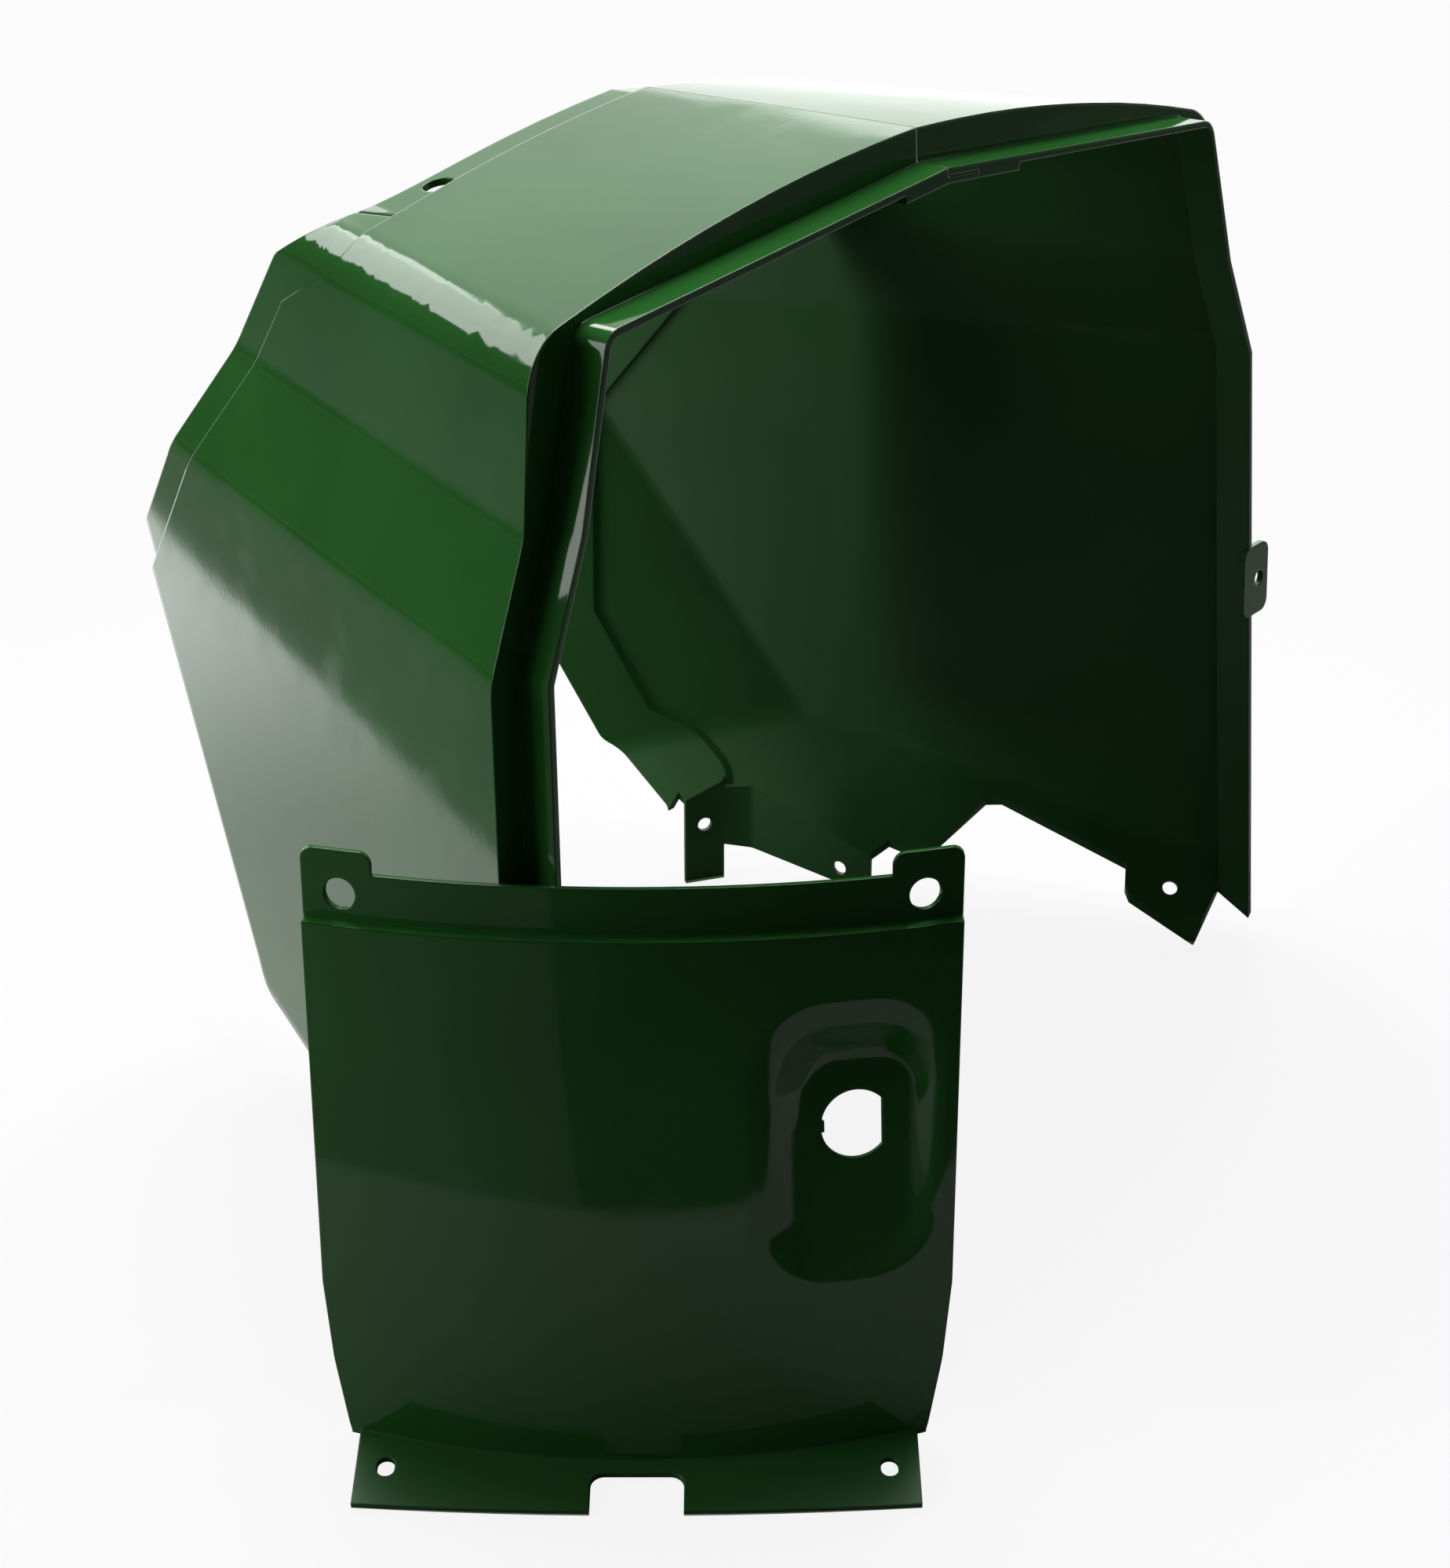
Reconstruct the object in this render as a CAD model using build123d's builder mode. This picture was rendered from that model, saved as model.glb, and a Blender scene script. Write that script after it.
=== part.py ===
"""Cowl cover of a compact tractor: two moulded cowl halves and a lower key-switch panel.

Millimetres. +X is the right side of the tractor, +Y is forward and +Z is up. The feet stand on z = 0.
"""
from math import asin, cos, radians, sin, sqrt, tan
import os
from build123d import *

# Moulding
wall = 3.0
seam_gap = 0.3

# Rear section of one half, measured from the seam plane
roof_height = 478.0
roof_radius = 1034.0
roof_crown_x = -31.0
corner_x = 238.0
corner_radius = 26.0
step_top_x = 247.5
step_top_z = roof_height - 102.0
step_foot_x = 271.0
step_foot_z = step_top_z - 50.0
step_radius = 32.0
foot_x = 289.0

# Plan taper of the side walls and forward lean of the rear rim, as slopes
plan_taper = 0.36
rim_lean = 0.059

# Side outline of the front edge, from the roof down to the toe
roof_front_y = 192.0
brow_y = 240.0
brow_z = roof_height - 54.0
nose_y = 364.0
nose_z = 262.0
chin_y = 347.0
chin_z = 140.0
sole_y = 312.0
sole_z = 77.0
toe_y = 262.0
toe_z = 46.0
front_band = 20.0
outline_radius = 14.0
front_joggle = 3.2
relief_slit_x = 150.0
relief_slit = 2.0

# Rear rim: a spigot stands behind the shoulder, inside the outer section
spigot_length = 15.5
spigot_roof_z = roof_height - 14.0
spigot_roof_slope = 0.085
spigot_corner_x = 213.0
spigot_corner_radius = 10.0
spigot_step_in = 14.0
ear_z = 205.0
ear_x = 268.0
ear_width = 24.0
ear_height = 37.0
ear_radius = 6.0
lap_length = 11.0
lap_reach = 22.0
lap_root = 30.0

# Lower facets of the wall: chin facet in front, foot ledge behind
chin_point = (192.0, 250.0, 104.0)
chin_normal = (0.73, 0.64, -0.22)
ledge_point = (281.0, 13.0, 34.5)
ledge_normal = (0.591, 0.384, -0.709)
bend_radius = 18.0
sole_radius = 26.0
lip_rear = (174.0, 165.0)
lip_front = (160.0, 236.0)
lip_low_z = 7.0
lip_rise = 0.17
toe_corner = (150.0, 249.0)
toe_tip = (131.0, 261.0)
lip_bend = 9.0
heel_tab_y = 45.0
heel_tab_x = 240.0

# Fixing holes
small_bore = 8.0
roof_bore = 14.0
roof_bore_x = 121.0
roof_bore_inset = 10.0
lip_bore_y = 183.0
lip_bore_z = 19.0
toe_bore_z = 35.0
heel_bore = (257.0, 26.0, 21.5)
ear_bore_x = 271.0

# Switch panel: stance, bowed face and recessed top strip
panel_turn = 38.64
panel_lean = 4.43
panel_fold = (-268.7, -42.7, 6.57)
panel_wall = 2.5
bow_radius = 400.0
panel_width = 249.0
panel_waist = 70.0
panel_tuck = 9.0
step_line = 226.0
strip_top = 245.0
strip_recess = 6.0
tab_top = 254.0
tab_width = 27.5
tab_radius = 5.0
tab_bore = 12.8
tab_bore_u = 111.5
tab_bore_v = 236.5

# Foot flange of the panel
flange_slope = 9.0
flange_width = 224.0
flange_reach = 26.2
flange_bow = 4.0
flange_slot = 7.0
flange_slot_length = 9.5
flange_slot_u = 100.0
flange_slot_v = 3.5
notch_width = 37.0
notch_top = 6.8
notch_radius = 5.5

# Key pocket and switch hole
pocket_u = 81.0
pocket_v = 138.0
pocket_width = 77.0
pocket_height = 122.0
pocket_radius = 26.0
pocket_floor_radius = 8.0
pocket_depth = 22.0
pocket_draft = 45.0
pocket_tilt = 0.17
pocket_over = 6.0
switch_bore = 28.0
switch_u = 87.5
switch_v = 142.0
switch_flat = 10.5
switch_key = 4.5
switch_key_depth = 1.3

# Reach of the construction bodies past the finished part
over = 60.0
far = 500.0


def roof_z(x):
    """Height of the roof in the rear section."""
    return roof_height + sqrt(roof_radius**2 - (x - roof_crown_x) ** 2) - sqrt(roof_radius**2 - roof_crown_x**2)


def section(inset):
    """Rear section of a half, set in from the outer skin; its seam side and foot run past the part."""

    def leaned(x, z):
        return (x + plan_taper * rim_lean * z, z)

    with BuildSketch(Plane.XZ.offset(over)) as face:
        with BuildLine():
            roof_left = leaned(-over * 3, roof_z(-over * 3))
            roof_right = leaned(corner_x, roof_z(corner_x))
            step_top = leaned(step_top_x, step_top_z)
            step_foot = leaned(step_foot_x, step_foot_z)
            ThreePointArc(roof_left, leaned(0, roof_height), roof_right)
            Polyline(
                roof_right,
                step_top,
                step_foot,
                leaned(foot_x, 0),
                leaned(foot_x, -over * 2),
                leaned(-over * 3, -over * 2),
                roof_left,
            )
        make_face()
        corner = face.vertices().sort_by_distance((*roof_right, 0))[0]
        fillet(corner, corner_radius)
        top = face.vertices().sort_by_distance((*step_top, 0))[0]
        foot = face.vertices().sort_by_distance((*step_foot, 0))[0]
        fillet([top, foot], step_radius)
        if inset > 0:
            offset(amount=-inset, mode=Mode.REPLACE)
    return face.sketch.moved(Location((plan_taper * over, 0, 0)))


def rear_plane(y):
    """Plane of the rear rim, moved forward by y."""
    return Plane(origin=(0, y, 0), x_dir=(1, 0, 0), z_dir=(0, 1, -rim_lean))


def toward(point, normal, inset):
    """Plane through point, set in against its outward normal, facing into the cowl."""
    n = Vector(normal).normalized()
    return Plane(origin=Vector(point) - n * inset, z_dir=n * -1)


def body(inset):
    """Solid of one half inside its outer skin, with tapered walls and bent lower facets."""
    with BuildPart() as solid:
        extrude(section(inset), amount=(far + over) * sqrt(1 + plan_taper**2), dir=(-plan_taper, 1, 0))
        split(bisect_by=rear_plane(inset), keep=Keep.TOP)
        split(bisect_by=toward(chin_point, chin_normal, inset), keep=Keep.TOP)
        split(bisect_by=toward(ledge_point, ledge_normal, inset), keep=Keep.TOP)
        x, y, z = chin_point
        sole_edge = solid.edges().sort_by_distance((0.86 * x, 1.12 * y, 0.81 * z))[0]
        fillet(sole_edge, sole_radius - inset)
        chin_edge = solid.edges().sort_by_distance((0.93 * x, 1.16 * y, 1.68 * z))[0]
        fillet(chin_edge, bend_radius - inset)
    return solid.part


def outline(back):
    """Slab across a half inside its side outline, with the front edge moved back."""
    with BuildPart() as slab:
        with BuildSketch(Plane.YZ.offset(-far)):
            with BuildLine():
                FilletPolyline(
                    (-far, -far),
                    (toe_y, -far),
                    (toe_y, toe_z),
                    (sole_y, sole_z),
                    (chin_y, chin_z),
                    (nose_y, nose_z),
                    (brow_y, brow_z),
                    (roof_front_y, brow_z + 26),
                    (roof_front_y, far + far),
                    (-far, far + far),
                    radius=outline_radius,
                    close=True,
                )
            make_face()
            if back > 0:
                offset(amount=-back, mode=Mode.REPLACE)
        extrude(amount=2 * far)
    return slab.part


def spigot(inset, y_from, y_to):
    """Prism inside the spigot's outer profile, set in, between two planes along the rim."""
    with BuildPart() as prism:
        with BuildSketch(Plane.XZ.offset(over)) as profile:
            corner_z = spigot_roof_z - spigot_roof_slope * spigot_corner_x
            Polygon(
                (-over, spigot_roof_z + spigot_roof_slope * over),
                (spigot_corner_x, corner_z),
                (step_top_x - spigot_step_in, step_top_z),
                (step_foot_x - spigot_step_in, step_foot_z),
                (foot_x - spigot_step_in, 0),
                (foot_x - spigot_step_in, -over),
                (-over, -over),
                align=None,
            )
            corner = profile.vertices().sort_by_distance((spigot_corner_x, corner_z, 0))[0]
            fillet(corner, spigot_corner_radius)
            if inset > 0:
                offset(amount=-inset, mode=Mode.REPLACE)
        extrude(amount=-2 * over)
        split(bisect_by=rear_plane(y_from), keep=Keep.TOP)
        split(bisect_by=rear_plane(y_to), keep=Keep.BOTTOM)
    return prism.part


def plan_cut():
    """Prism that opens the foot ledge, leaving the lipped shelf in front and the heel tab behind."""
    with BuildPart() as prism:
        with BuildSketch(Plane.XY.offset(-over)):
            Polygon(
                (-far, -over),
                (heel_tab_x + 8, -over),
                (heel_tab_x + 6, 0),
                (heel_tab_x, heel_tab_y - 4),
                (heel_tab_x + 2, heel_tab_y),
                (heel_tab_x + 10, heel_tab_y + 5),
                (lip_rear[0] + 59, lip_rear[1] - 45),
                (lip_rear[0] + 54, lip_rear[1] - 38),
                (lip_rear[0] + 16, lip_rear[1] - 24),
                (lip_rear[0] + 10, lip_rear[1] - 5),
                lip_rear,
                lip_front,
                toe_corner,
                toe_tip,
                (toe_tip[0], toe_y + wall),
                (-far, toe_y + wall),
                align=None,
            )
        extrude(amount=over + chin_point[2] + 30)
    return prism.part


def lip():
    """Upright lip under the inner edge of the foot shelf, turned into the toe tab in front."""
    with BuildPart() as strip:
        with BuildSketch(Plane.XY):
            with BuildLine():
                FilletPolyline(lip_rear, lip_front, toe_corner, radius=lip_bend)
            trace(line_width=wall)
        extrude(amount=chin_point[2])
        split(bisect_by=toward(ledge_point, ledge_normal, wall), keep=Keep.BOTTOM)
        low = Plane(origin=(0, lip_rear[1], lip_low_z), z_dir=(0, -lip_rise, 1))
        split(bisect_by=low, keep=Keep.TOP)
        along = (lip_bore_y - lip_rear[1]) / (lip_front[1] - lip_rear[1])
        bore_x = lip_rear[0] + along * (lip_front[0] - lip_rear[0])
        across_lip = (lip_front[1] - lip_rear[1], lip_rear[0] - lip_front[0], 0)
        with Locations(Plane(origin=(bore_x, lip_bore_y, lip_bore_z), z_dir=across_lip)):
            Hole(small_bore / 2)
    return strip.part


def toe():
    """Toe tab, from the front of the foot ledge down to the floor, with its hole."""
    with BuildPart() as tab:
        with BuildSketch(Plane.XY):
            with BuildLine():
                Line(toe_corner, toe_tip)
            trace(line_width=wall)
        extrude(amount=chin_point[2])
        split(bisect_by=toward(ledge_point, ledge_normal, wall + front_joggle), keep=Keep.BOTTOM)
        middle = (Vector(*toe_corner) + Vector(*toe_tip)) / 2
        across_toe = (toe_corner[1] - toe_tip[1], toe_tip[0] - toe_corner[0], 0)
        with Locations(Plane(origin=(middle.X, middle.Y, toe_bore_z), z_dir=across_toe)):
            Hole(small_bore / 2)
    return tab.part


def half():
    """One half with everything that both halves share, on the +X side of the seam."""
    with BuildPart() as band:
        add(body(front_joggle))
        add(outline(0), mode=Mode.INTERSECT)
    with BuildPart() as cavity:
        add(body(wall))
        add(outline(front_band + wall), mode=Mode.INTERSECT)
        add(body(wall + front_joggle))
    with BuildPart() as ring:
        add(spigot(0, -spigot_length, wall))
        add(spigot(wall, -over, over), mode=Mode.SUBTRACT)
        split(bisect_by=toward(ledge_point, ledge_normal, 0), keep=Keep.TOP)
    with BuildPart() as piece:
        add(body(0))
        add(outline(front_band), mode=Mode.INTERSECT)
        add(band.part)
        add(cavity.part, mode=Mode.SUBTRACT)
        add(spigot(wall, -over, wall), mode=Mode.SUBTRACT)
        add(ring.part)
        add(plan_cut(), mode=Mode.SUBTRACT)
        add(lip())
        add(toe())
        split(bisect_by=Plane(origin=(seam_gap / 2, 0, 0), z_dir=(1, 0, 0)), keep=Keep.TOP)
        split(bisect_by=Plane.XY, keep=Keep.TOP)
        with BuildSketch(Plane.XY.offset(brow_z)):
            with Locations((relief_slit_x, roof_front_y)):
                Rectangle(relief_slit, 2 * front_band)
        extrude(amount=over, mode=Mode.SUBTRACT)
        roof_y = roof_front_y - roof_bore_inset
        at = roof_bore_x + plan_taper * (roof_y - rim_lean * roof_height)
        fall = (at - roof_crown_x) / sqrt(roof_radius**2 - (at - roof_crown_x) ** 2)
        roof_normal = (fall, fall * plan_taper, 1)
        with BuildSketch(Plane(origin=(roof_bore_x, roof_y, roof_z(at)), z_dir=roof_normal)):
            Circle(roof_bore / 2)
        extrude(amount=front_band, both=True, mode=Mode.SUBTRACT)
        with BuildSketch(Plane(origin=heel_bore, z_dir=ledge_normal)):
            Circle(small_bore / 2)
        extrude(amount=4 * wall, both=True, mode=Mode.SUBTRACT)
    return piece.part


def ear():
    """Fixing ear that stands out from the rear edge of the spigot."""
    with BuildPart() as plate:
        with BuildSketch(Plane.XZ.offset(over)):
            with Locations((ear_x, ear_z)):
                RectangleRounded(ear_width, ear_height, ear_radius)
        extrude(amount=-2 * over)
        split(bisect_by=rear_plane(-spigot_length), keep=Keep.TOP)
        split(bisect_by=rear_plane(wall - spigot_length), keep=Keep.BOTTOM)
    return plate.part


def lap_tab(x_from, x_to, lift):
    """Plate under the spigot roof beside the seam, its top lifted from the spigot's inner face."""

    def under(x):
        return spigot_roof_z - wall - spigot_roof_slope * abs(x)

    low = seam_gap + wall
    with BuildPart() as plate:
        with BuildSketch(Plane.XZ.offset(over)):
            Polygon(
                (x_from, under(x_from) + lift),
                (x_to, under(x_to) + lift),
                (x_to, under(x_to) - low),
                (x_from, under(x_from) - low),
                align=None,
            )
        extrude(amount=-2 * over)
        split(bisect_by=rear_plane(-spigot_length), keep=Keep.TOP)
        split(bisect_by=rear_plane(lap_length - spigot_length), keep=Keep.BOTTOM)
    return plate.part


os.makedirs("parts", exist_ok=True)
shell = half()

with BuildPart() as cowl_right:
    add(shell)
    add(lap_tab(lap_reach + seam_gap, lap_reach + lap_root, wall / 2))
    add(ear())
    with BuildSketch(Plane.XZ.offset(over)):
        with Locations((ear_bore_x, ear_z)):
            Circle(small_bore / 2)
    extrude(amount=-over, mode=Mode.SUBTRACT)

with BuildPart() as cowl_left:
    add(mirror(shell, about=Plane.YZ))
    add(lap_tab(-lap_root, -seam_gap / 2, wall / 2))
    add(lap_tab(-seam_gap, lap_reach, -seam_gap))

# Frame of the switch panel: across it, up its face and out toward the rear
across = Vector(sin(radians(panel_turn)), -cos(radians(panel_turn)), 0)
behind = Vector(cos(radians(panel_turn)), sin(radians(panel_turn)), 0)
up = Vector(0, 0, 1)
face_normal = behind * -cos(radians(panel_lean)) + up * sin(radians(panel_lean))
panel_frame = Plane(origin=panel_fold, x_dir=across, z_dir=face_normal)


def bowed(radius_in, low, high):
    """Solid of the panel's bow, its skin set in from the face, between two heights."""
    with BuildPart() as bow:
        with BuildSketch(Plane.XZ.offset(-low)):
            with Locations((0, -bow_radius)):
                Circle(bow_radius - radius_in)
            with Locations((0, -bow_radius)):
                Rectangle(3 * bow_radius, 2 * bow_radius, align=(Align.CENTER, Align.MAX), mode=Mode.SUBTRACT)
        extrude(amount=-(high - low))
    return bow.part


def touching(u, v):
    """Plane that touches the bowed face at a point across and up it."""
    turn = asin(u / bow_radius)
    return Plane(
        origin=(u, v, bow_radius * (cos(turn) - 1)),
        x_dir=(cos(turn), 0, -sin(turn)),
        z_dir=(sin(turn), 0, cos(turn)),
    )


with BuildPart() as face_cut:
    with BuildSketch():
        Polygon(
            (-panel_width / 2, step_line),
            (-panel_width / 2, panel_waist),
            (panel_tuck / 3 - panel_width / 2, panel_waist / 2),
            (panel_tuck - panel_width / 2, 0),
            (panel_tuck - panel_width / 2, -over),
            (panel_width / 2 - panel_tuck, -over),
            (panel_width / 2 - panel_tuck, 0),
            (panel_width / 2 - panel_tuck / 3, panel_waist / 2),
            (panel_width / 2, panel_waist),
            (panel_width / 2, step_line),
            align=None,
        )
    extrude(amount=over, both=True)

with BuildPart() as strip_cut:
    with BuildSketch() as strip:
        with Locations((0, step_line - panel_wall)):
            Rectangle(panel_width, strip_top - step_line + panel_wall, align=(Align.CENTER, Align.MIN))
        with Locations((panel_width / 2 - tab_width / 2, step_line), (tab_width / 2 - panel_width / 2, step_line)):
            Rectangle(tab_width, tab_top - step_line, align=(Align.CENTER, Align.MIN))
        fillet(strip.vertices().group_by(Axis.Y)[-1], tab_radius)
    extrude(amount=over, both=True)

# Foot flange, kicked forward from the fold and let down to the floor
kick = panel_lean + flange_slope
flange_plane = Plane(
    origin=(0, 0, 0), x_dir=(1, 0, 0), z_dir=(0, cos(radians(kick)), sin(radians(kick)))
)
with BuildPart() as flange:
    with BuildSketch(flange_plane) as foot:
        with BuildLine():
            front = ThreePointArc(
                (-flange_width / 2, -flange_reach + flange_bow),
                (0, -flange_reach),
                (flange_width / 2, -flange_reach + flange_bow),
            )
            Polyline(front @ 1, (flange_width / 2, over), (-flange_width / 2, over), front @ 0)
        make_face()
        with Locations((0, -notch_top)):
            RectangleRounded(notch_width, 2 * flange_reach, notch_radius, align=(Align.CENTER, Align.MAX),
                             mode=Mode.SUBTRACT)
        with Locations((flange_slot_u, -flange_slot_v), (-flange_slot_u, -flange_slot_v)):
            SlotOverall(flange_slot_length, flange_slot, rotation=90, mode=Mode.SUBTRACT)
    extrude(amount=-panel_wall)
    add(bowed(panel_wall, -over, over), mode=Mode.SUBTRACT)

# Key pocket, sunk into the face on a plane touching the bow
pocket_plane = touching(pocket_u, pocket_v)


def pocket(grow):
    """Scoop of the key pocket: steep above, its tilted floor running out below; grown for the cup."""
    with BuildPart() as scoop:
        with BuildSketch(pocket_plane.offset(pocket_over)) as rim:
            Polygon(
                (-0.5 * pocket_width, 0.5 * pocket_height),
                (-0.5 * pocket_width, -0.5 * pocket_height),
                (0.44 * pocket_width, -0.5 * pocket_height),
                (0.5 * pocket_width, 0.5 * pocket_height),
                align=None,
            )
            fillet(rim.vertices(), pocket_radius)
            offset(amount=pocket_over * tan(radians(pocket_draft)) + grow, mode=Mode.REPLACE)
        extrude(amount=-pocket_over - pocket_depth - 2 * grow, taper=pocket_draft)
        floor = pocket_plane.offset(-grow)
        low = floor.origin - floor.y_dir * (pocket_height / 2)
        tilt = floor.y_dir * pocket_tilt + floor.z_dir
        split(bisect_by=Plane(origin=low, x_dir=floor.x_dir, z_dir=tilt), keep=Keep.TOP)
        bed = scoop.faces().sort_by(Axis(floor.origin, tilt))[0]
        fillet(bed.edges(), pocket_floor_radius + grow)
    return scoop.part


with BuildPart() as strip_sheet:
    add(bowed(strip_recess, step_line - panel_wall, tab_top + over))
    add(bowed(strip_recess + panel_wall, step_line - panel_wall, tab_top + over), mode=Mode.SUBTRACT)
    add(strip_cut.part, mode=Mode.INTERSECT)
    for side in (-1, 1):
        with BuildSketch(touching(side * tab_bore_u, tab_bore_v)):
            Circle(tab_bore / 2)
        extrude(amount=over / 2, both=True, mode=Mode.SUBTRACT)

with BuildPart() as cup:
    add(pocket(panel_wall))
    add(bowed(0, 0, step_line), mode=Mode.INTERSECT)

# Switch hole: round with one flat and a small key, square to the pocket floor
floor_normal = pocket_plane.y_dir * pocket_tilt + pocket_plane.z_dir
switch_plane = Plane(
    origin=touching(switch_u, switch_v).origin,
    x_dir=pocket_plane.x_dir,
    z_dir=floor_normal,
)
with BuildPart() as switch_hole:
    with BuildSketch(switch_plane):
        Circle(switch_bore / 2)
        with Locations((switch_flat, 0)):
            Rectangle(switch_bore, 2 * switch_bore, align=(Align.MIN, Align.CENTER), mode=Mode.SUBTRACT)
        with Locations((-switch_bore / 2, 0)):
            Rectangle(2 * switch_key_depth, switch_key, mode=Mode.SUBTRACT)
    extrude(amount=-over)

with BuildPart() as switch_panel:
    add(bowed(0, -over, step_line))
    add(bowed(panel_wall, -over, step_line - panel_wall), mode=Mode.SUBTRACT)
    add(bowed(strip_recess + panel_wall, step_line - panel_wall, step_line), mode=Mode.SUBTRACT)
    add(face_cut.part, mode=Mode.INTERSECT)
    split(bisect_by=flange_plane.offset(-panel_wall), keep=Keep.TOP)
    add(strip_sheet.part)
    add(flange.part)
    add(cup.part)
    add(pocket(0), mode=Mode.SUBTRACT)
    add(switch_hole.part, mode=Mode.SUBTRACT)
switch_panel.part = switch_panel.part.moved(panel_frame.location)

# Shared origin: middle of the set's overall box, on the floor
left_box = cowl_left.part.bounding_box()
right_box = cowl_right.part.bounding_box()
panel_box = switch_panel.part.bounding_box()
centre_x = (min(left_box.min.X, panel_box.min.X) + right_box.max.X) / 2
centre_y = (min(left_box.min.Y, panel_box.min.Y) + left_box.max.Y) / 2
to_origin = Location((-centre_x, -centre_y, 0))

cowl_left.part = cowl_left.part.moved(to_origin)
cowl_left.part.label = "cowl_left"
export_step(cowl_left.part, "parts/cowl_left.step")

cowl_right.part = cowl_right.part.moved(to_origin)
cowl_right.part.label = "cowl_right"
export_step(cowl_right.part, "parts/cowl_right.step")

switch_panel.part = switch_panel.part.moved(to_origin)
switch_panel.part.label = "switch_panel"
export_step(switch_panel.part, "parts/switch_panel.step")
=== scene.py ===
"""Looks for the tractor cowl cover: glossy green mouldings on a white studio floor.

Metres, in the frame of the solids: +X right side of the tractor, +Y forward, +Z up, floor at z = 0.
"""

from math import asin, cos, exp, hypot, log1p, pi, radians, sin, sqrt, tan

import bpy
import bmesh
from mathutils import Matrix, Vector


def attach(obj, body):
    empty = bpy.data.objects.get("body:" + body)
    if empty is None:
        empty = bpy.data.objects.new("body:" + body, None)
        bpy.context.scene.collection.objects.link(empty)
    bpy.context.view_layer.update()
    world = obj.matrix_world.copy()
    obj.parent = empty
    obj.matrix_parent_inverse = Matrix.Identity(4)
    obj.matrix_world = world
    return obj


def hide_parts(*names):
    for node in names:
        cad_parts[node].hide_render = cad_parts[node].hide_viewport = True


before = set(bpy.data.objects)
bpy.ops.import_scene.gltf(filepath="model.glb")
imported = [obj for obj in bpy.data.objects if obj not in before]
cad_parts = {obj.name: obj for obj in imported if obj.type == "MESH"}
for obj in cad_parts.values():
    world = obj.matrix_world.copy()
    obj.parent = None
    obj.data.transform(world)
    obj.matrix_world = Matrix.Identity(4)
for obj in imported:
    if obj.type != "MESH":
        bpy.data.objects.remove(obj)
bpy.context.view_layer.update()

# Camera, as the photograph was taken
CAMERA_AT = Vector((-0.90947, -0.73673, 0.741))
VIEW_ACROSS = Vector((0.781, 0.6245, 0.0))
VIEW_DOWN = radians(26.0)
LENS_MM = 64.86

# Moulded green, as linear colour
DEEP_GREEN = (0.019, 0.108, 0.018, 1.0)
FRESH_GREEN = (0.026, 0.139, 0.025, 1.0)

# Middle of the space under the cowl, and the sharpest bend that is still shaded smooth
COWL_MIDDLE = (0.0345, 0.03, 0.20)
BEND_LIMIT = radians(34.0)
MERGE_DISTANCE = 0.00002

# Studio: directions away from the camera and to its right, the panel's foot, and where the lights aim
behind = VIEW_ACROSS.normalized()
across = Vector((behind.y, -behind.x, 0.0))
PANEL_FOOT = Vector((-0.256, -0.170, 0.0))
LIGHT_AIM = Vector((0.0, 0.0, 0.3))

# Switch panel: stance, bow, wall and outline, as the solid has them
PANEL_FOLD = Vector((-0.234171, -0.152427, 0.00657))
PANEL_TURN = radians(38.64)
PANEL_LEAN = radians(4.43)
FLANGE_KICK = radians(13.43)
PANEL_WALL = 0.0025
BOW_RADIUS = 0.400
STEP_LINE = 0.226
HALF_WIDTHS = ((0.0, 0.1155), (0.035, 0.1215), (0.070, 0.1245))
PANEL_ACROSS = Vector((sin(PANEL_TURN), -cos(PANEL_TURN), 0.0))
PANEL_BEHIND = Vector((cos(PANEL_TURN), sin(PANEL_TURN), 0.0))
PANEL_OUT = Vector((0, 0, 1)) * sin(PANEL_LEAN) - PANEL_BEHIND * cos(PANEL_LEAN)
PANEL_RISE = PANEL_BEHIND * sin(PANEL_LEAN) + Vector((0, 0, 1)) * cos(PANEL_LEAN)

# Key pocket: mouth and bed as low and high across, low and high up, corner; bed's depth and tilt
POCKET_MOUTH = (0.0435, 0.1200, 0.0740, 0.1990, 0.030)
POCKET_BED = (0.0660, 0.1062, 0.0890, 0.1670, 0.012)
POCKET_ACROSS = 0.081
BED_DEPTH = 0.01105
BED_TILT = 0.13
ROLL_SHARE = 0.34
ROLL_DEPTH = 0.13
ROLL_SOFTNESS = 0.10
WALL_END = 0.97
WALL_SOFTNESS = 0.07

# Face sheet: step for its slopes, tuck at the step, reach into the flange, top of the flange
SLOPE_STEP = 0.0002
TOP_TUCK = 0.0015
FLANGE_SHARE = 0.94
FLANGE_TOP = 0.006
LEVEL_SLACK = 0.0001

# Switch hole: middle, bore, flat and locating key
SWITCH_AT = (0.0875, 0.142)
SWITCH_RADIUS = 0.014
SWITCH_FLAT = 0.0105
SWITCH_KEY = (0.0127, 0.00225)
SWITCH_TILT = 0.17
PLUG_REACH = (0.012, -0.040)
ARC_STEPS = 40


class Value:
    """A shader socket that takes part in sums."""

    def __init__(self, sheet, socket):
        self.sheet = sheet
        self.socket = socket

    def _with(self, operation, other):
        return self.sheet.node("ShaderNodeMath", {"operation": operation}, {0: self, 1: other})

    def __add__(self, other):
        return self._with("ADD", other)

    __radd__ = __add__

    def __mul__(self, other):
        return self._with("MULTIPLY", other)

    __rmul__ = __mul__


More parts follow.
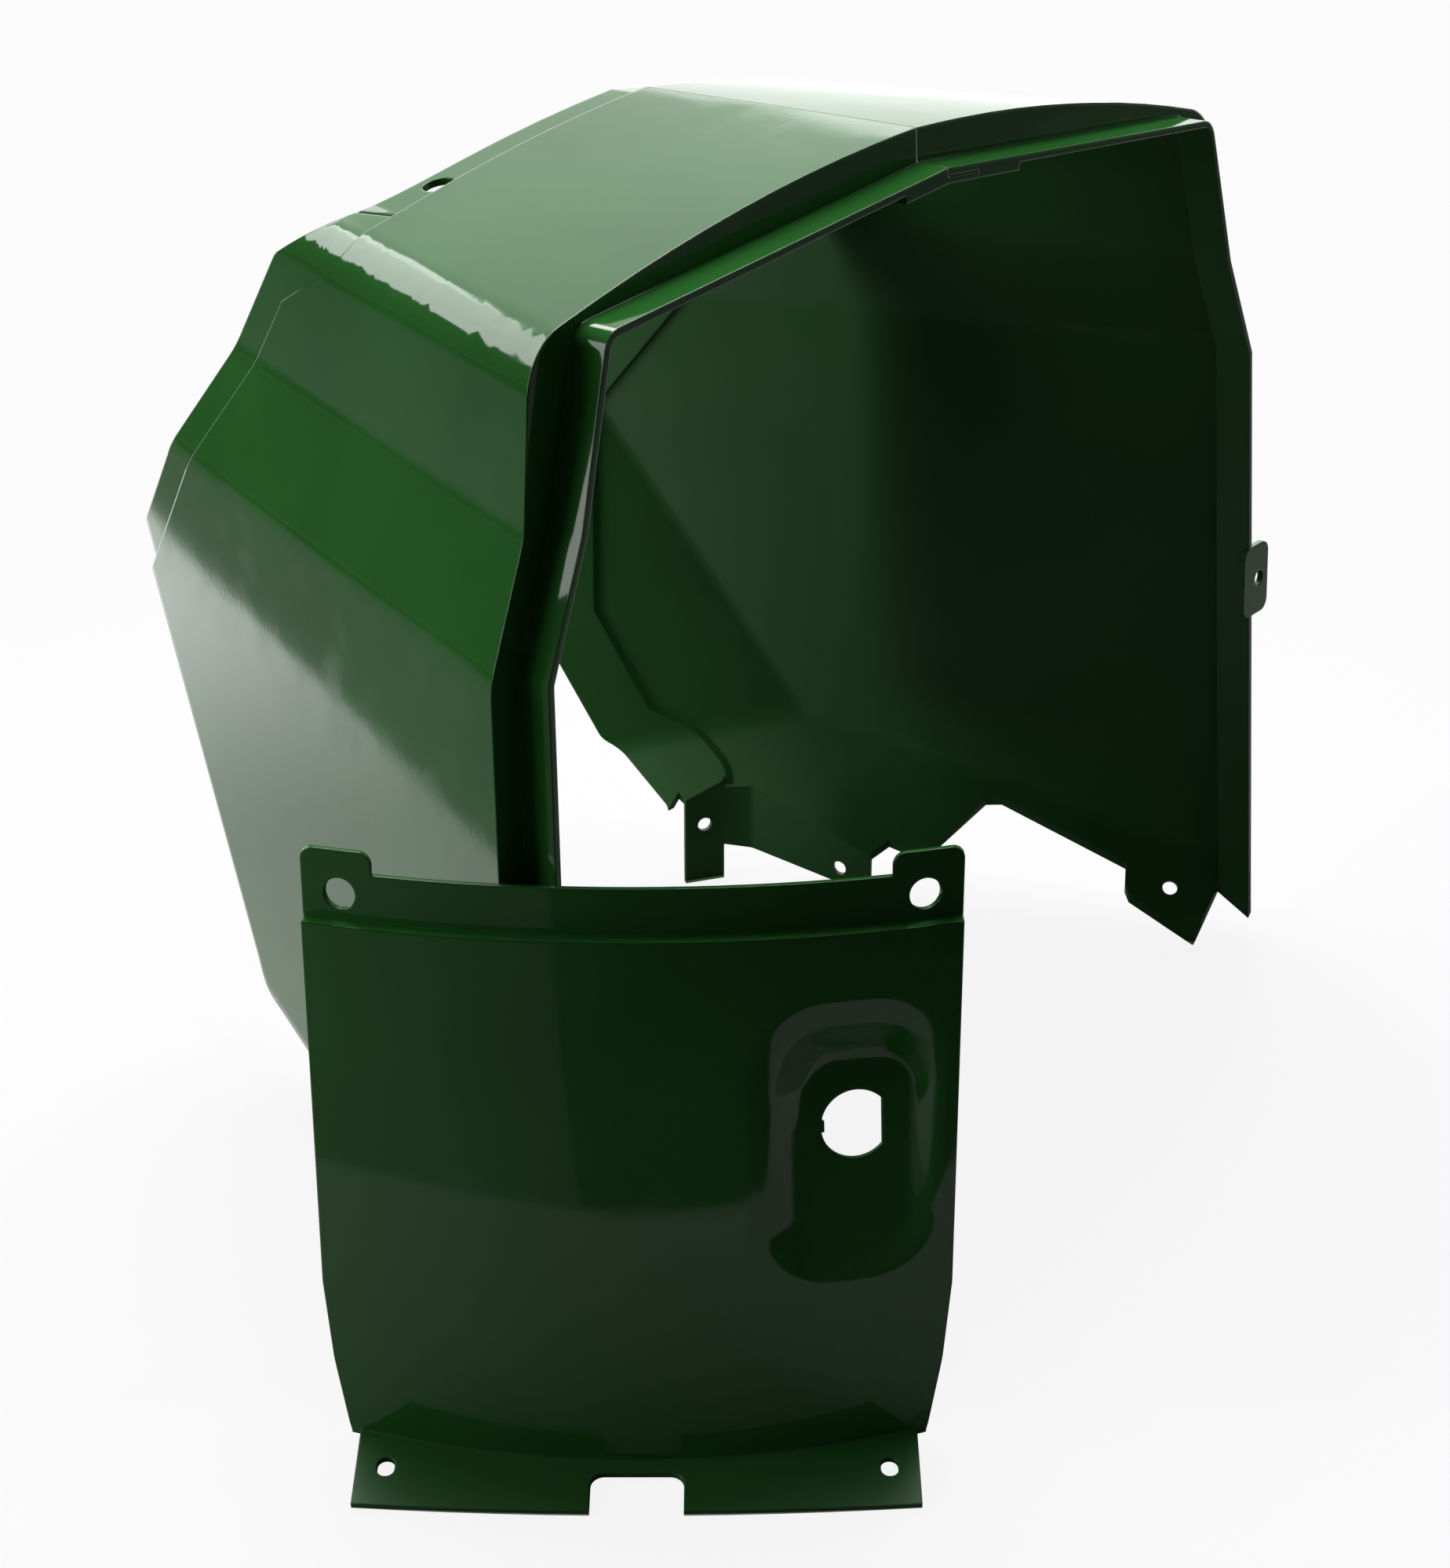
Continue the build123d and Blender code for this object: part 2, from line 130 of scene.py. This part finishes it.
class Sheet:
    """A node tree that is filled by expressions."""

    def __init__(self, tree):
        self.tree = tree

    def node(self, kind, settings=None, inputs=None, out=0):
        made = self.tree.nodes.new(kind)
        for key, setting in (settings or {}).items():
            setattr(made, key, setting)
        for key, given in (inputs or {}).items():
            if isinstance(given, Value):
                self.tree.links.new(given.socket, made.inputs[key])
            else:
                made.inputs[key].default_value = given
        return Value(self, made.outputs[out])

    def ramp(self, value, low, high):
        """0 below low, 1 above high, smooth between."""
        return self.node(
            "ShaderNodeMapRange",
            {"interpolation_type": "SMOOTHSTEP"},
            {"Value": value, "From Min": low, "From Max": high},
        )

    def noise(self, where, scale, detail=2.0, roughness=0.5):
        return self.node(
            "ShaderNodeTexNoise",
            None,
            {"Vector": where, "Scale": scale, "Detail": detail, "Roughness": roughness},
        )

    def blend(self, amount, first, second):
        return self.node(
            "ShaderNodeMix", {"data_type": "RGBA"}, {"Factor": amount, 6: first, 7: second}, out=2
        )


def new_material(name):
    made = bpy.data.materials.new(name)
    made.use_nodes = True
    made.node_tree.nodes.clear()
    sheet = Sheet(made.node_tree)
    return made, sheet


def close_material(sheet, shader):
    output = sheet.tree.nodes.new("ShaderNodeOutputMaterial")
    sheet.tree.links.new(shader.socket, output.inputs["Surface"])


def moulded_green():
    """Injection-moulded plastic: glossy outside, with flow marks, peel and haze; satin inside."""
    made, sheet = new_material("moulded_green")
    place = sheet.node("ShaderNodeTexCoord", out=3)
    flow = sheet.noise(place, 5.0, 3.0)
    peel = sheet.noise(place, 420.0, 2.0)
    haze = sheet.noise(place, 38.0, 4.0, 0.6)
    colour = sheet.blend(sheet.ramp(flow, 0.35, 0.65), DEEP_GREEN, FRESH_GREEN)
    facing = sheet.node("ShaderNodeNewGeometry", out=1)
    inward = sheet.node(
        "ShaderNodeVectorMath", {"operation": "SUBTRACT"}, {0: COWL_MIDDLE, 1: place}
    )
    inner = sheet.node(
        "ShaderNodeVectorMath", {"operation": "DOT_PRODUCT"}, {0: facing, 1: inward}, out=1
    )
    satin = sheet.ramp(inner, 0.01, 0.05)
    gloss = 0.06 + 0.05 * sheet.ramp(haze, 0.45, 0.75) + 0.36 * satin
    height = 0.6 * flow + 0.012 * peel
    edge = sheet.node("ShaderNodeBevel", {"samples": 6}, {"Radius": 0.0012})
    normal = sheet.node(
        "ShaderNodeBump",
        None,
        {"Strength": 0.25, "Distance": 0.002, "Height": height, "Normal": edge},
    )
    shader = sheet.node(
        "ShaderNodeBsdfPrincipled",
        None,
        {"Base Color": colour, "Roughness": gloss, "Normal": normal, "IOR": 1.5},
    )
    close_material(sheet, shader)
    return made


def floor_white():
    """White paper of the studio floor: keeps the shadow near the set and runs out to plain white."""
    made, sheet = new_material("floor_white")
    place = sheet.node("ShaderNodeTexCoord", out=3)
    grain = sheet.noise(place, 60.0, 2.0)
    colour = sheet.blend(grain, (0.78, 0.78, 0.78, 1.0), (0.81, 0.81, 0.81, 1.0))
    lit = sheet.node("ShaderNodeBsdfPrincipled", None, {"Base Color": colour, "Roughness": 0.7})
    plain = sheet.node(
        "ShaderNodeEmission", None, {"Color": (0.97, 0.97, 0.97, 1.0), "Strength": 1.0}
    )
    reach = sheet.node("ShaderNodeVectorMath", {"operation": "LENGTH"}, {0: place}, out=1)
    seen = sheet.node("ShaderNodeLightPath", out=0) + sheet.node("ShaderNodeLightPath", out=3)
    share = seen * (0.91 + 0.09 * sheet.ramp(reach, 0.4, 0.8))
    shader = sheet.node("ShaderNodeMixShader", None, {0: share, 1: lit, 2: plain})
    close_material(sheet, shader)
    return made


def card_grey(name, shade):
    """Matt card of the studio; the grey of the front and under cards is painted shade of the floor."""
    made, sheet = new_material(name)
    shader = sheet.node(
        "ShaderNodeBsdfPrincipled",
        None,
        {"Base Color": (shade, shade, shade, 1.0), "Roughness": 0.9},
    )
    close_material(sheet, shader)
    return made


def sheet_mesh(name, corners, material):
    data = bpy.data.meshes.new(name)
    data.from_pydata([tuple(c) for c in corners], [], [tuple(range(len(corners)))])
    made = bpy.data.objects.new(name, data)
    bpy.context.scene.collection.objects.link(made)
    data.materials.append(material)
    return made


def studio_light(name, at, width, height, radiance):
    """Soft box of an even brightness, turned to the set and unseen by the camera."""
    data = bpy.data.lights.new(name, "AREA")
    data.shape = "RECTANGLE"
    data.size = width
    data.size_y = height
    data.energy = radiance * pi * width * height
    made = bpy.data.objects.new(name, data)
    made.location = at
    made.rotation_euler = (LIGHT_AIM - Vector(at)).to_track_quat("-Z", "Y").to_euler()
    made.visible_camera = False
    bpy.context.scene.collection.objects.link(made)


def floor_card(name, corners, height, material, diffuse=True):
    """Card lying on the floor, unseen by the camera."""
    card = sheet_mesh(name, [(x, y, height) for x, y in corners], material)
    card.visible_camera = False
    card.visible_shadow = False
    card.visible_diffuse = diffuse


def apron(first, last, near, far, spread, back=0.0, steps=16):
    """Corners of a piece of floor round the panel's foot, between two bearings from the camera's side."""
    foot = PANEL_FOOT + behind * back
    inner = []
    outer = []
    for step in range(steps + 1):
        bearing = radians(first + (last - first) * step / steps)
        ray = across * sin(bearing) - behind * cos(bearing)
        reach = near + spread * bearing**2
        inner.append((foot + ray * reach).to_2d())
        outer.append((foot + ray * far).to_2d())
    return inner + outer[::-1]


def lit_paper(name):
    """White paper that catches the window ahead, brighter toward the front."""
    made, sheet = new_material(name)
    place = sheet.node("ShaderNodeTexCoord", out=3)
    apart = sheet.node("ShaderNodeSeparateXYZ", None, {0: place}, out=1)
    glow = 1.0 + 1.3 * sheet.ramp(apart, 0.45, 0.9)
    shader = sheet.node("ShaderNodeEmission", None, {"Strength": glow})
    close_material(sheet, shader)
    return made


def solid_shape(node):
    """Merged copy of a solid's mesh."""
    shape = bmesh.new()
    shape.from_mesh(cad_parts[node].data)
    bmesh.ops.remove_doubles(shape, verts=shape.verts, dist=MERGE_DISTANCE)
    return shape


def smooth_moulding(node, shape, material):
    """Skin of a moulding, shaded smooth over its bends and crisp at its cut edges."""
    data = bpy.data.meshes.new(node + "_skin")
    for face in shape.faces:
        face.smooth = True
    for edge in shape.edges:
        edge.smooth = len(edge.link_faces) == 2 and edge.calc_face_angle() < BEND_LIMIT
    shape.to_mesh(data)
    shape.free()
    data.materials.clear()
    data.materials.append(material)
    made = bpy.data.objects.new(node + "_skin", data)
    bpy.context.scene.collection.objects.link(made)
    even = made.modifiers.new("even_shading", "WEIGHTED_NORMAL")
    even.keep_sharp = True
    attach(made, "root")
    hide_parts(node)


def panel_point(u, v, n):
    """Place of a point across the panel, up it and out from it."""
    return PANEL_FOLD + PANEL_ACROSS * u + PANEL_RISE * v + PANEL_OUT * n


def bow(u):
    return sqrt(BOW_RADIUS**2 - u * u) - BOW_RADIUS


def half_width(v):
    for (low, narrow), (high, wide) in zip(HALF_WIDTHS, HALF_WIDTHS[1:]):
        if v < high:
            return narrow + (wide - narrow) * max(v - low, 0.0) / (high - low)
    return HALF_WIDTHS[-1][1]


def within(u, v, low_u, high_u, low_v, high_v, corner):
    """How far a point lies inside a rounded rectangle, negative outside it."""
    past_u = abs(u - (low_u + high_u) / 2) - (high_u - low_u) / 2 + corner
    past_v = abs(v - (low_v + high_v) / 2) - (high_v - low_v) / 2 + corner
    return corner - hypot(max(past_u, 0.0), max(past_v, 0.0)) - min(max(past_u, past_v), 0.0)


def eased(t, softness):
    """0 below 0, 1 above 1, straight between, with rounded turns."""
    return softness * (log1p(exp(t / softness)) - log1p(exp((t - 1.0) / softness)))


def panel_height(u, v):
    """Height of the panel's face: the bow, with the key pocket's rolled rim, walls and bed."""
    mouth = within(u, v, *POCKET_MOUTH)
    inset = mouth / (mouth - within(u, v, *POCKET_BED))
    roll = ROLL_DEPTH * eased(inset / ROLL_SHARE, ROLL_SOFTNESS)
    along = (inset - ROLL_SHARE) / (WALL_END - ROLL_SHARE)
    wall = (1.0 - ROLL_DEPTH) * eased(along, WALL_SOFTNESS)
    slope = tan(asin(POCKET_ACROSS / BOW_RADIUS))
    depth = BED_DEPTH + BED_TILT * (v - SWITCH_AT[1])
    bed = bow(POCKET_ACROSS) - (u - POCKET_ACROSS) * slope - depth
    return bow(u) - (bow(u) - bed) * (roll + wall)


def stations(*spans):
    """Even steps over spans of start, end and count, joined up."""
    made = [spans[0][0]]
    for start, end, count in spans:
        made += [start + (end - start) * (step + 1) / count for step in range(count)]
    return made


def face_sheet():
    """Closed sheet of the panel's face, from the foot flange to the step."""
    columns = stations((-1.0, 0.28, 30), (0.28, 1.0, 84))
    rows = stations((0.0, 0.066, 11), (0.066, 0.206, 120), (0.206, STEP_LINE, 4))
    fine = SLOPE_STEP
    front = []
    back = []
    for row, height in enumerate(rows):
        for column in columns:
            u = column * half_width(height)
            v = height
            if row == 0:
                v = -bow(u) * tan(FLANGE_KICK) - FLANGE_SHARE * PANEL_WALL
            n = panel_height(u, v)
            lean_u = (panel_height(u + fine, v) - panel_height(u - fine, v)) / (2 * fine)
            lean_v = (panel_height(u, v + fine) - panel_height(u, v - fine)) / (2 * fine)
            shift = PANEL_WALL / sqrt(1.0 + lean_u**2 + lean_v**2)
            drop = TOP_TUCK if row == len(rows) - 1 else 0.0
            front.append(panel_point(u, v, n))
            back.append(panel_point(u + lean_u * shift, v + lean_v * shift - drop, n - shift))
    wide = len(columns)
    count = len(front)
    faces = []
    for row in range(len(rows) - 1):
        for column in range(wide - 1):
            corner = row * wide + column
            quad = (corner, corner + 1, corner + wide + 1, corner + wide)
            faces.append(quad)
            faces.append(tuple(count + index for index in quad[::-1]))
    last = count - wide
    rim = list(range(wide)) + list(range(2 * wide - 1, count, wide))
    rim += list(range(count - 2, last - 1, -1)) + list(range(last - wide, 0, -wide))
    for first, second in zip(rim, rim[1:] + rim[:1]):
        faces.append((first, count + first, count + second, second))
    data = bpy.data.meshes.new("face_sheet")
    data.from_pydata([tuple(p) for p in front + back], [], faces)
    return data


def switch_plug():
    """Closed plug of the switch hole's outline, along the bed's normal."""
    turn = asin(POCKET_ACROSS / BOW_RADIUS)
    sideways = PANEL_ACROSS * cos(turn) - PANEL_OUT * sin(turn)
    tangent_out = PANEL_ACROSS * sin(turn) + PANEL_OUT * cos(turn)
    normal = (PANEL_RISE * SWITCH_TILT + tangent_out).normalized()
    upward = normal.cross(sideways)
    middle = panel_point(*SWITCH_AT, bow(SWITCH_AT[0]))
    key_in, key_half = SWITCH_KEY
    flat = pi / 2 - asin(SWITCH_FLAT / SWITCH_RADIUS)
    key = pi - asin(key_half / SWITCH_RADIUS)
    upper = [flat + (key - flat) * step / ARC_STEPS for step in range(ARC_STEPS + 1)]
    ring = [(SWITCH_RADIUS * cos(a), SWITCH_RADIUS * sin(a)) for a in upper]
    ring += [(-key_in, key_half), (-key_in, -key_half)]
    ring += [(SWITCH_RADIUS * cos(a), -SWITCH_RADIUS * sin(a)) for a in upper[::-1]]
    points = []
    for reach in PLUG_REACH:
        points += [middle + sideways * x + upward * y + normal * reach for x, y in ring]
    size = len(ring)
    faces = [tuple(range(size)), tuple(range(2 * size - 1, size - 1, -1))]
    for first in range(size):
        second = (first + 1) % size
        faces.append((first, first + size, second + size, second))
    data = bpy.data.meshes.new("switch_plug")
    data.from_pydata([tuple(p) for p in points], [], faces)
    return data


def outward(data):
    """Blank of a closed mesh, its faces turned outward."""
    shape = bmesh.new()
    shape.from_mesh(data)
    bmesh.ops.recalc_face_normals(shape, faces=shape.faces)
    shape.to_mesh(data)
    shape.free()
    made = bpy.data.objects.new(data.name, data)
    bpy.context.scene.collection.objects.link(made)
    return made


def panel_shape():
    """The panel's strip and flange as the solid has them, with the pocketed face between."""
    blank = outward(face_sheet())
    plug = outward(switch_plug())
    cut = blank.modifiers.new("switch_hole", "BOOLEAN")
    cut.operation = "DIFFERENCE"
    cut.solver = "EXACT"
    cut.object = plug
    graph = bpy.context.evaluated_depsgraph_get()
    drilled = bpy.data.meshes.new_from_object(blank.evaluated_get(graph))
    for spent in (blank, plug):
        bpy.data.objects.remove(spent)
    shape = solid_shape("switch_panel")
    web_low = STEP_LINE - PANEL_WALL - LEVEL_SLACK
    face_faces = []
    for face in shape.faces:
        heights = [(vert.co - PANEL_FOLD).dot(PANEL_RISE) for vert in face.verts]
        if max(heights) > FLANGE_TOP and min(heights) < web_low:
            face_faces.append(face)
    bmesh.ops.delete(shape, geom=face_faces, context="FACES")
    shape.from_mesh(drilled)
    return shape


# Mouldings
green = moulded_green()
for node in ("cowl_left", "cowl_right"):
    smooth_moulding(node, solid_shape(node), green)
smooth_moulding("switch_panel", panel_shape(), green)

# Studio: white floor, cards that only the gloss sees, two of them painted shade, and soft lights from
# above and behind
FLOOR_HALF = 9.0
corners = [(-1, -1), (1, -1), (1, 1), (-1, 1)]
floor = sheet_mesh("floor", [(FLOOR_HALF * x, FLOOR_HALF * y, 0) for x, y in corners], floor_white())

# Grey card round the panel's foot: painted shade, standing in for the floor in the panel's shadow as
# gloss and bounce light see it
floor_card("front_painted_shade_card", apron(-90, 90, 0.0, 1.2, 0.0, 0.07), 0.001, card_grey("front_painted_shade_matt", 0.34))
floor_card("front_dark", apron(-85, 85, 0.205, 8.8, 0.1), 0.002, card_grey("front_dark_matt", 0.01))
floor_card("front_left", apron(-80, -16, 0.205, 8.7, 0.1), 0.003, card_grey("front_left_matt", 0.12))
# Grey card under and before the cowl: painted shade, standing in for the floor in the cowl's shadow as
# gloss and bounce light see it
floor_card(
    "under_painted_shade_card",
    [(-0.22, -0.14), (-0.05, -0.45), (0.60, -0.45), (0.33, -0.10), (0.18, 0.28), (-0.10, 0.28)],
    0.0015,
    card_grey("under_painted_shade_matt", 0.16),
)
floor_card(
    "right_grey",
    [(0.36, -0.12), (0.10, -0.50), (0.60, -2.60), (3.00, -2.60), (3.00, -0.12)],
    0.0012,
    card_grey("right_matt", 0.28),
)
floor_card(
    "left_dark",
    [(-0.385, 0.220), (0.150, 1.970), (2.2, 8.640), (-8.9, 8.640), (-8.9, 0.220)],
    0.002,
    card_grey("left_matt", 0.12),
)
floor_card(
    "left_paper",
    [
        (-0.27, -0.09),
        (-0.09, 0.37),
        (0.05, 0.80),
        (0.60, 1.45),
        (-0.01, 1.45),
        (-0.2815, 0.556),
        (-0.385, 0.22),
    ],
    0.003,
    lit_paper("left_paper_lit"),
    False,
)


# Flag that keeps stray light out of the space under the cowl
flag = sheet_mesh(
    "mouth_flag",
    [(-0.14, 0.10, 0.13), (0.21, 0.10, 0.13), (0.21, 0.10, 0.41), (-0.14, 0.10, 0.41)],
    card_grey("flag_matt", 0.01),
)
flag.visible_camera = False


# Soft lights
studio_light("top_softbox", behind * 0.75 + Vector((0, 0, 1.95)), 1.4, 1.4, 7.6)
studio_light("left_softbox", (-1.6, 1.2, 1.0), 1.2, 1.2, 3.6)
studio_light("front_softbox", (-0.15, 2.5, 1.55), 1.9, 0.9, 4.0)
studio_light("back_low_softbox", behind * 2.6 + across * 0.5 + Vector((0, 0, 0.66)), 4.2, 1.2, 1.5)
studio_light("back_high_softbox", behind * 2.2 + Vector((0, 0, 1.85)), 3.4, 1.8, 0.95)

world = bpy.data.worlds.new("studio")
bpy.context.scene.world = world
world.use_nodes = True
air = Sheet(world.node_tree)
seen = air.node("ShaderNodeLightPath", out=0)
world.node_tree.links.new(
    air.blend(seen, (0.035, 0.035, 0.035, 1.0), (1.0, 1.0, 1.0, 1.0)).socket,
    world.node_tree.nodes["Background"].inputs["Color"],
)

# Camera
camera_data = bpy.data.cameras.new("camera")
camera_data.lens = LENS_MM
camera_data.sensor_width = 36.0
camera = bpy.data.objects.new("camera", camera_data)
camera.location = CAMERA_AT
heading = VIEW_ACROSS.to_2d().angle_signed(Vector((0, 1)))
camera.rotation_euler = (radians(90) - VIEW_DOWN, 0.0, heading)
bpy.context.scene.collection.objects.link(camera)
bpy.context.scene.camera = camera

bpy.context.scene.view_settings.view_transform = "Standard"
